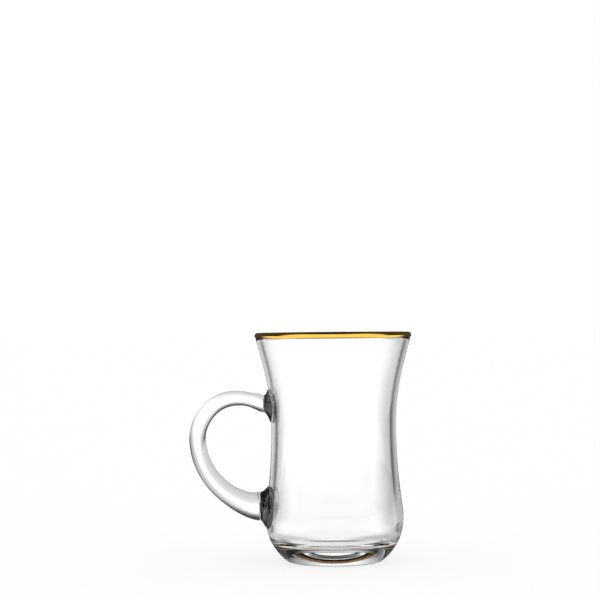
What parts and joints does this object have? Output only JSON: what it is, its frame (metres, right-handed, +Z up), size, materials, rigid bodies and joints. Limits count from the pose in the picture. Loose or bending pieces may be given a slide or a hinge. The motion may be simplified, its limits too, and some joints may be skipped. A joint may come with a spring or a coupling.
{
  "type": "handled tea glass",
  "caption": "Clear glass tea mug with a flared mouth, drawn-in waist, rounded belly, thick hollowed base, welded glass loop handle and gilded lip, for hot drinks.",
  "frame": {"origin": "on the table plane under the middle of the overall length and width; the bowl's axis stands at X = +12.65 mm", "axes": "+Z up along the bowl's axis, -X towards the handle, Y across the handle's plane"},
  "size_m": [0.0852, 0.06, 0.0872],
  "materials": {
    "clear_glass": "clear, fire polished",
    "fired_gold": "bright fired gold"
  },
  "bodies": {
    "root": {"bowl": "clear_glass", "handle": "clear_glass", "upper_pad": "clear_glass", "lower_pad": "clear_glass", "gilt_rim": "fired_gold"}
  },
  "joints": []
}
